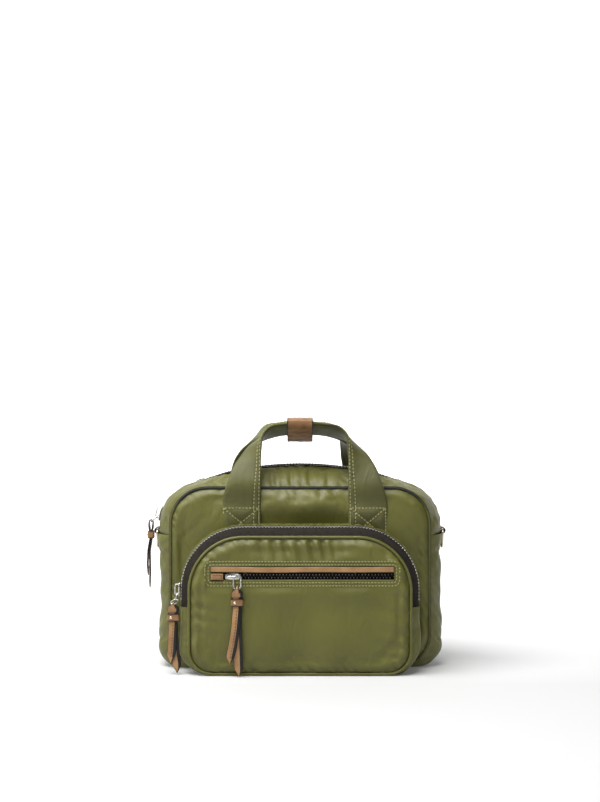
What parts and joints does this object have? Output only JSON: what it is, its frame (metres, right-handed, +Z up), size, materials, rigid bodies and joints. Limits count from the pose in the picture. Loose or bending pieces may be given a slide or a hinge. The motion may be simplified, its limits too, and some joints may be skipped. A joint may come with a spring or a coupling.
{
  "type": "crossbody purse",
  "caption": "Padded nylon crossbody purse with a twin top handle, leather trims and keeper, zipped main compartment, zipped front pocket, welt pocket and side strap rings.",
  "frame": {"origin": "centre of the flat strip under the bag that it stands on", "axes": "+X towards the bag's left side as it is worn facing out, which is the viewer's right; +Y towards the back, away from the pockets; +Z up"},
  "size_m": [0.2673, 0.1125, 0.219],
  "materials": {
    "nylon": "satin, padded",
    "piping_cloth": "matt woven",
    "zip_tape": "matt woven",
    "zip_metal": "polished nickel",
    "ring_metal": "polished pale gold",
    "leather": "smooth, edges painted dark",
    "lining_cloth": "matt plain weave",
    "base_board": "matt board"
  },
  "bodies": {
    "bag": {"front_panel": "nylon", "back_panel": "nylon", "front_piping": "piping_cloth", "back_piping": "piping_cloth", "lower_gusset": "nylon", "top_gusset_left": "nylon", "top_gusset_right": "nylon", "main_tape_left": "zip_tape", "main_tape_right": "zip_tape", "main_teeth_left": "zip_metal", "main_teeth_right": "zip_metal", "pocket_face": "nylon", "pocket_piping": "piping_cloth", "pocket_gusset": "nylon", "pocket_top_strip": "nylon", "pocket_tape": "zip_tape", "pocket_teeth": "zip_metal", "welt_tape": "zip_tape", "welt_teeth": "zip_metal", "welt_leather": "leather", "welt_end_tab": "leather", "welt_pouch": "lining_cloth", "front_handle": "nylon", "back_handle": "nylon", "d_ring_tab_left": "leather", "d_ring_tab_right": "leather", "lining": "lining_cloth", "base_board": "base_board"},
    "mouth_front_lip": {"front_lip": "nylon", "main_tape_front": "zip_tape", "main_teeth_front": "zip_metal"},
    "mouth_back_lip": {"back_lip": "nylon", "main_tape_back": "zip_tape", "main_teeth_back": "zip_metal"},
    "pocket_mouth_lip": {"pocket_lip": "nylon", "pocket_lip_piping": "piping_cloth", "pocket_lip_tape": "zip_tape", "pocket_lip_teeth": "zip_metal"},
    "keeper": {"handle_keeper": "leather"},
    "left_ring": {"d_ring_left": "ring_metal"},
    "right_ring": {"d_ring_right": "ring_metal"},
    "welt_zip_slider": {"welt_slider": "zip_metal"},
    "welt_zip_link": {"welt_pull_link": "zip_metal"},
    "welt_zip_pull": {"welt_pull_strap": "leather", "welt_pull_band": "leather", "welt_pull_rivet": "ring_metal"},
    "pocket_zip_slider": {"pocket_slider": "zip_metal"},
    "pocket_zip_link": {"pocket_pull_link": "zip_metal"},
    "pocket_zip_pull": {"pocket_pull_strap": "leather", "pocket_pull_band": "leather", "pocket_pull_rivet": "ring_metal"},
    "main_zip_slider": {"main_slider": "zip_metal"},
    "main_zip_link": {"main_pull_link": "zip_metal"},
    "main_zip_pull": {"main_pull_strap": "leather", "main_pull_band": "leather", "main_pull_rivet": "ring_metal"}
  },
  "joints": [
    {"name": "front_lip_fold", "type": "hinge", "parent": "bag", "child": "mouth_front_lip", "pos_m": [0, -0.0329, 0.158], "axis": [1, 0, 0], "range_deg": [0, 20]},
    {"name": "back_lip_fold", "type": "hinge", "parent": "bag", "child": "mouth_back_lip", "pos_m": [0, 0.0329, 0.158], "axis": [-1, 0, 0], "range_deg": [0, 20]},
    {"name": "pocket_lip_fold", "type": "hinge", "parent": "bag", "child": "pocket_mouth_lip", "pos_m": [0, -0.066, 0.099], "axis": [1, 0, 0], "range_deg": [0, 20]},
    {"name": "keeper_slide", "type": "slide", "parent": "bag", "child": "keeper", "axis": [1, 0, 0], "range_m": [-0.006, 0.006]},
    {"name": "left_ring_swing", "type": "hinge", "parent": "bag", "child": "left_ring", "pos_m": [-0.1269, 0, 0.1186], "axis": [0, 1, 0], "range_deg": [0, 90]},
    {"name": "right_ring_swing", "type": "hinge", "parent": "bag", "child": "right_ring", "pos_m": [0.1269, 0, 0.1186], "axis": [0, -1, 0], "range_deg": [0, 150]},
    {"name": "welt_zip_run", "type": "slide", "parent": "bag", "child": "welt_zip_slider", "axis": [1, 0, 0], "range_m": [0, 0.128]},
    {"name": "welt_link_swing", "type": "hinge", "parent": "welt_zip_slider", "child": "welt_zip_link", "pos_m": [-0.05323, -0.066, 0.0848], "axis": [0, 1, 0], "range_deg": [-25, 25]},
    {"name": "welt_pull_swing", "type": "hinge", "parent": "welt_zip_link", "child": "welt_zip_pull", "pos_m": [-0.05323, -0.06905, 0.0746], "axis": [-1, 0, 0], "range_deg": [0, 90]},
    {"name": "pocket_zip_run", "type": "hinge", "parent": "bag", "child": "pocket_zip_slider", "pos_m": [-0.0485, -0.05, 0.072], "axis": [0, 1, 0], "range_deg": [0, 83]},
    {"name": "pocket_link_swing", "type": "hinge", "parent": "pocket_zip_slider", "child": "pocket_zip_link", "pos_m": [-0.1053, -0.05, 0.06922], "axis": [0, 1, 0], "range_deg": [0, 80]},
    {"name": "pocket_pull_swing", "type": "hinge", "parent": "pocket_zip_link", "child": "pocket_zip_pull", "pos_m": [-0.1084, -0.057, 0.06023], "axis": [-1, 0, 0], "range_deg": [0, 80]},
    {"name": "main_zip_run", "type": "hinge", "parent": "bag", "child": "main_zip_slider", "pos_m": [-0.087, 0, 0.124], "axis": [0, 1, 0], "range_deg": [0, 46]},
    {"name": "main_link_swing", "type": "hinge", "parent": "main_zip_slider", "child": "main_zip_link", "pos_m": [-0.12714, 0, 0.13129], "axis": [0, 1, 0], "range_deg": [0, 90]},
    {"name": "main_pull_swing", "type": "hinge", "parent": "main_zip_link", "child": "main_zip_pull", "pos_m": [-0.13335, 0, 0.12579], "axis": [0, 1, 0], "range_deg": [0, 60]}
  ],
  "couplings": [
    {"joint": "left_ring_swing", "follows": "main_link_swing", "ratio": 1}
  ]
}
